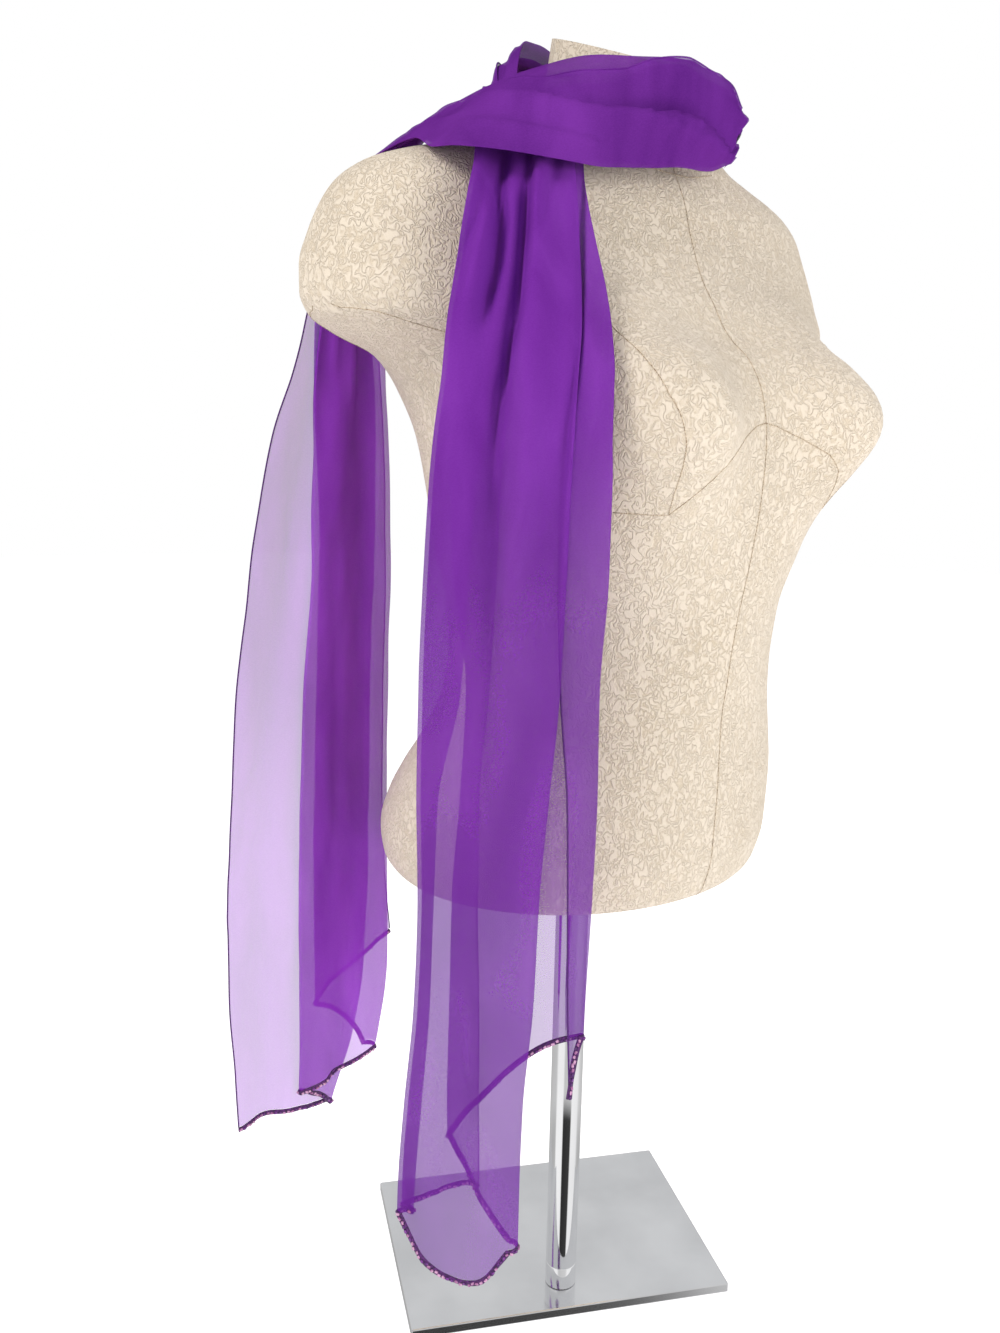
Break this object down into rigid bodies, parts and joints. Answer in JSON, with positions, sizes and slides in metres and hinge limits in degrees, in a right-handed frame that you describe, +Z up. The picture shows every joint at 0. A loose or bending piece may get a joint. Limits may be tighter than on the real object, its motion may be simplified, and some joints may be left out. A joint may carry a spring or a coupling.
{
  "type": "chiffon scarf on dress form",
  "caption": "Long sheer scarf with beaded ends, wound round the neck of a limbless linen dress form on a chrome pole stand.",
  "frame": {"origin": "on the underside of the base plate, on the pole's axis", "axes": "+Z up along the pole; the dress form faces -Y; +X is the form's left side"},
  "size_m": [0.4641, 0.3878, 0.9623],
  "materials": {
    "chiffon": "satin",
    "bead_edging": "gloss",
    "linen": "matte",
    "chrome": "polished"
  },
  "bodies": {
    "root": {"scarf_front_tail": "chiffon", "scarf_neck_front": "chiffon", "scarf_neck_back": "chiffon", "scarf_back_tail": "chiffon", "front_bead_edge": "bead_edging", "back_bead_edge": "bead_edging", "form_body": "linen", "pole": "chrome", "pole_sleeve": "chrome", "base_plate": "chrome"}
  },
  "joints": []
}
